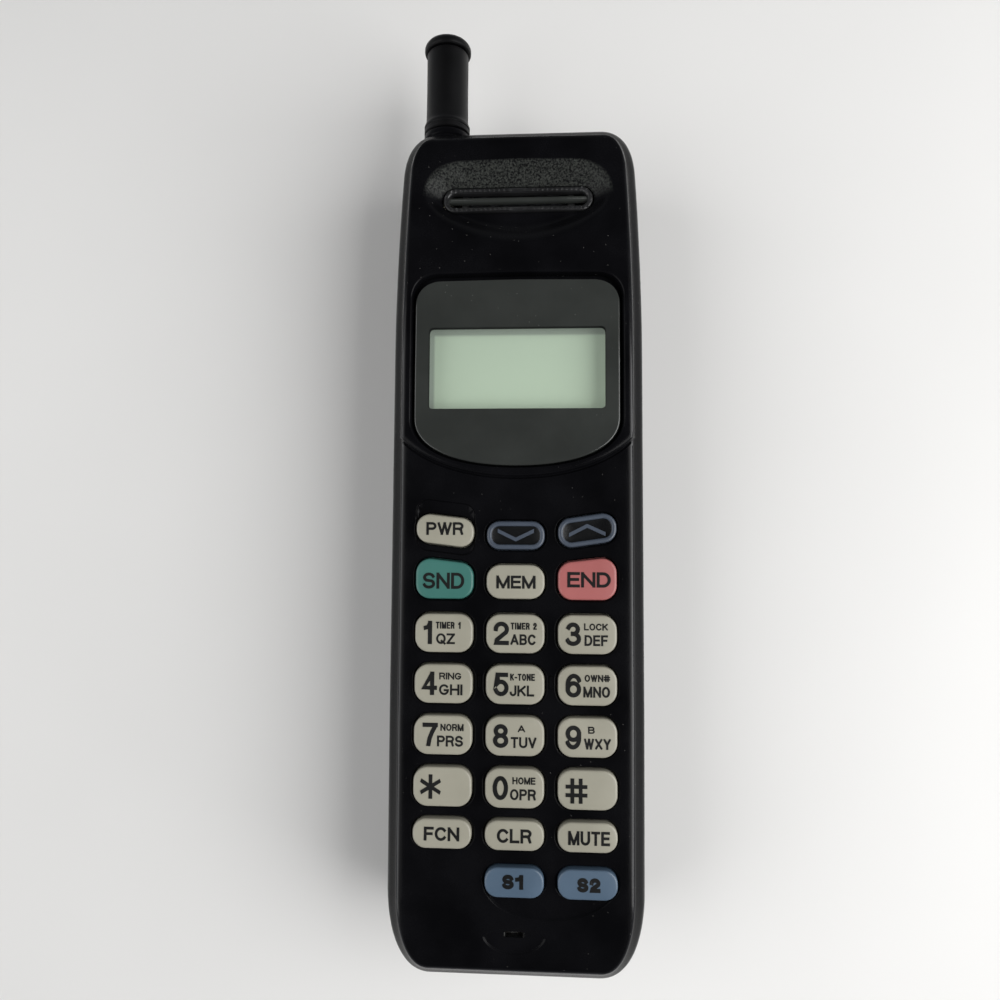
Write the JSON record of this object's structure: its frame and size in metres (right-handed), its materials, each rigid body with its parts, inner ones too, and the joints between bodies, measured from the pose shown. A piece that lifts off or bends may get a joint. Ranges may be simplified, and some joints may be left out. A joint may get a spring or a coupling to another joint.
{
  "type": "mobile phone handset",
  "caption": "Brick-style portable telephone with a full keypad, a window display, a pull-out stub antenna and a slide-off battery pack.",
  "frame": {"origin": "on the flat back of the battery pack, at the centre of the body's length and width (antenna left out)", "axes": "phone on its back: +X across it, +Y along it towards the earpiece and antenna, +Z out of the keypad face"},
  "size_m": [0.058, 0.2161, 0.0363],
  "materials": {
    "black_plastic": "textured black moulding, semi-gloss",
    "window": "polished window plate, clear over the display and printed black round it",
    "lcd": "grey-green reflective liquid crystal",
    "dark_plastic": "plain black moulding",
    "conductive_rubber": "layered contact strip",
    "mat_rubber": "silicone sheet",
    "circuit_board": "green solder mask",
    "tinned_steel": "tinned sheet",
    "module_case": "tinned screening can",
    "cream_plastic": "natural nylon",
    "dark_metal": "black oxide",
    "black_rubber": "foam rubber",
    "antenna_rubber": "smooth black, low sheen",
    "gold_contact": "gold flash",
    "cell_wrap": "shrink sleeve on a steel can",
    "key_beige": "beige, fine matte, dark print",
    "key_slate": "slate frame round a black centre",
    "key_green": "green",
    "key_red": "dusty red",
    "key_blue": "grey-blue"
  },
  "bodies": {
    "handset": {"accessory_socket": "dark_plastic", "antenna_bushing": "black_plastic", "antenna_contact": "gold_contact", "antenna_guide_tube": "cream_plastic", "battery_terminals": "gold_contact", "board_connector": "cream_plastic", "case_screw_left": "dark_metal", "case_screw_right": "dark_metal", "display_lens": "window", "earpiece_gasket": "black_rubber", "earpiece_grille": "black_plastic", "earpiece_speaker": "dark_metal", "front_shell": "black_plastic", "keypad_board": "circuit_board", "keypad_mat": "mat_rubber", "latch_spring": "tinned_steel", "lcd_connector_strip": "conductive_rubber", "lcd_holder": "dark_plastic", "lcd_panel": "lcd", "main_board": "circuit_board", "microphone": "tinned_steel", "rear_shell": "black_plastic", "ringer": "dark_plastic", "shield_can": "tinned_steel", "transceiver_module": "module_case"},
    "antenna": {"antenna_sheath": "antenna_rubber", "antenna_cap": "antenna_rubber", "antenna_rod": "tinned_steel"},
    "battery_pack": {"battery_case": "black_plastic", "battery_lid": "black_plastic", "battery_pack_contacts": "gold_contact", "battery_cell_1": "cell_wrap", "battery_cell_2": "cell_wrap", "battery_cell_3": "cell_wrap", "battery_cell_4": "cell_wrap", "battery_cell_5": "cell_wrap"},
    "battery_latch": {"battery_latch": "black_plastic"},
    "key_0": {"key_0": "key_beige"},
    "key_1": {"key_1": "key_beige"},
    "key_2": {"key_2": "key_beige"},
    "key_3": {"key_3": "key_beige"},
    "key_4": {"key_4": "key_beige"},
    "key_5": {"key_5": "key_beige"},
    "key_6": {"key_6": "key_beige"},
    "key_7": {"key_7": "key_beige"},
    "key_8": {"key_8": "key_beige"},
    "key_9": {"key_9": "key_beige"},
    "key_clear": {"key_clear": "key_beige"},
    "key_down": {"key_down": "key_slate"},
    "key_end": {"key_end": "key_red"},
    "key_function": {"key_function": "key_beige"},
    "key_hash": {"key_hash": "key_beige"},
    "key_memory": {"key_memory": "key_beige"},
    "key_mute": {"key_mute": "key_beige"},
    "key_power": {"key_power": "key_beige"},
    "key_s1": {"key_s1": "key_blue"},
    "key_s2": {"key_s2": "key_blue"},
    "key_send": {"key_send": "key_green"},
    "key_star": {"key_star": "key_beige"},
    "key_up": {"key_up": "key_slate"}
  },
  "joints": [
    {"name": "press_key_0", "type": "slide", "parent": "handset", "child": "key_0", "axis": [0, 0, -1], "range_m": [0, 0.0009], "stiffness_N_per_m": 300, "springref_m": -0.001},
    {"name": "press_key_1", "type": "slide", "parent": "handset", "child": "key_1", "axis": [0, 0, -1], "range_m": [0, 0.0009], "stiffness_N_per_m": 300, "springref_m": -0.001},
    {"name": "press_key_2", "type": "slide", "parent": "handset", "child": "key_2", "axis": [0, 0, -1], "range_m": [0, 0.0009], "stiffness_N_per_m": 300, "springref_m": -0.001},
    {"name": "press_key_3", "type": "slide", "parent": "handset", "child": "key_3", "axis": [0, 0, -1], "range_m": [0, 0.0009], "stiffness_N_per_m": 300, "springref_m": -0.001},
    {"name": "press_key_4", "type": "slide", "parent": "handset", "child": "key_4", "axis": [0, 0, -1], "range_m": [0, 0.0009], "stiffness_N_per_m": 300, "springref_m": -0.001},
    {"name": "press_key_5", "type": "slide", "parent": "handset", "child": "key_5", "axis": [0, 0, -1], "range_m": [0, 0.0009], "stiffness_N_per_m": 300, "springref_m": -0.001},
    {"name": "press_key_6", "type": "slide", "parent": "handset", "child": "key_6", "axis": [0, 0, -1], "range_m": [0, 0.0009], "stiffness_N_per_m": 300, "springref_m": -0.001},
    {"name": "press_key_7", "type": "slide", "parent": "handset", "child": "key_7", "axis": [0, 0, -1], "range_m": [0, 0.0009], "stiffness_N_per_m": 300, "springref_m": -0.001},
    {"name": "press_key_8", "type": "slide", "parent": "handset", "child": "key_8", "axis": [0, 0, -1], "range_m": [0, 0.0009], "stiffness_N_per_m": 300, "springref_m": -0.001},
    {"name": "press_key_9", "type": "slide", "parent": "handset", "child": "key_9", "axis": [0, 0, -1], "range_m": [0, 0.0009], "stiffness_N_per_m": 300, "springref_m": -0.001},
    {"name": "press_key_clear", "type": "slide", "parent": "handset", "child": "key_clear", "axis": [0, 0, -1], "range_m": [0, 0.0009], "stiffness_N_per_m": 300, "springref_m": -0.001},
    {"name": "press_key_down", "type": "slide", "parent": "handset", "child": "key_down", "axis": [0, 0, -1], "range_m": [0, 0.0009], "stiffness_N_per_m": 300, "springref_m": -0.001},
    {"name": "press_key_end", "type": "slide", "parent": "handset", "child": "key_end", "axis": [0, 0, -1], "range_m": [0, 0.0009], "stiffness_N_per_m": 300, "springref_m": -0.001},
    {"name": "press_key_function", "type": "slide", "parent": "handset", "child": "key_function", "axis": [0, 0, -1], "range_m": [0, 0.0009], "stiffness_N_per_m": 300, "springref_m": -0.001},
    {"name": "press_key_hash", "type": "slide", "parent": "handset", "child": "key_hash", "axis": [0, 0, -1], "range_m": [0, 0.0009], "stiffness_N_per_m": 300, "springref_m": -0.001},
    {"name": "press_key_memory", "type": "slide", "parent": "handset", "child": "key_memory", "axis": [0, 0, -1], "range_m": [0, 0.0009], "stiffness_N_per_m": 300, "springref_m": -0.001},
    {"name": "press_key_mute", "type": "slide", "parent": "handset", "child": "key_mute", "axis": [0, 0, -1], "range_m": [0, 0.0009], "stiffness_N_per_m": 300, "springref_m": -0.001},
    {"name": "press_key_power", "type": "slide", "parent": "handset", "child": "key_power", "axis": [0, 0, -1], "range_m": [0, 0.0009], "stiffness_N_per_m": 300, "springref_m": -0.001},
    {"name": "press_key_s1", "type": "slide", "parent": "handset", "child": "key_s1", "axis": [0, 0, -1], "range_m": [0, 0.0009], "stiffness_N_per_m": 300, "springref_m": -0.001},
    {"name": "press_key_s2", "type": "slide", "parent": "handset", "child": "key_s2", "axis": [0, 0, -1], "range_m": [0, 0.0009], "stiffness_N_per_m": 300, "springref_m": -0.001},
    {"name": "press_key_send", "type": "slide", "parent": "handset", "child": "key_send", "axis": [0, 0, -1], "range_m": [0, 0.0009], "stiffness_N_per_m": 300, "springref_m": -0.001},
    {"name": "press_key_star", "type": "slide", "parent": "handset", "child": "key_star", "axis": [0, 0, -1], "range_m": [0, 0.0009], "stiffness_N_per_m": 300, "springref_m": -0.001},
    {"name": "press_key_up", "type": "slide", "parent": "handset", "child": "key_up", "axis": [0, 0, -1], "range_m": [0, 0.0009], "stiffness_N_per_m": 300, "springref_m": -0.001},
    {"name": "antenna_pull", "type": "slide", "parent": "handset", "child": "antenna", "axis": [0, 1, 0], "range_m": [0, 0.1]},
    {"name": "battery_slide", "type": "slide", "parent": "handset", "child": "battery_pack", "axis": [0, -1, 0], "range_m": [0, 0.125]},
    {"name": "latch_press", "type": "slide", "parent": "handset", "child": "battery_latch", "axis": [0, 0, 1], "range_m": [0, 0.002], "stiffness_N_per_m": 600, "springref_m": -0.0015, "deforming": ["latch_spring"]}
  ]
}
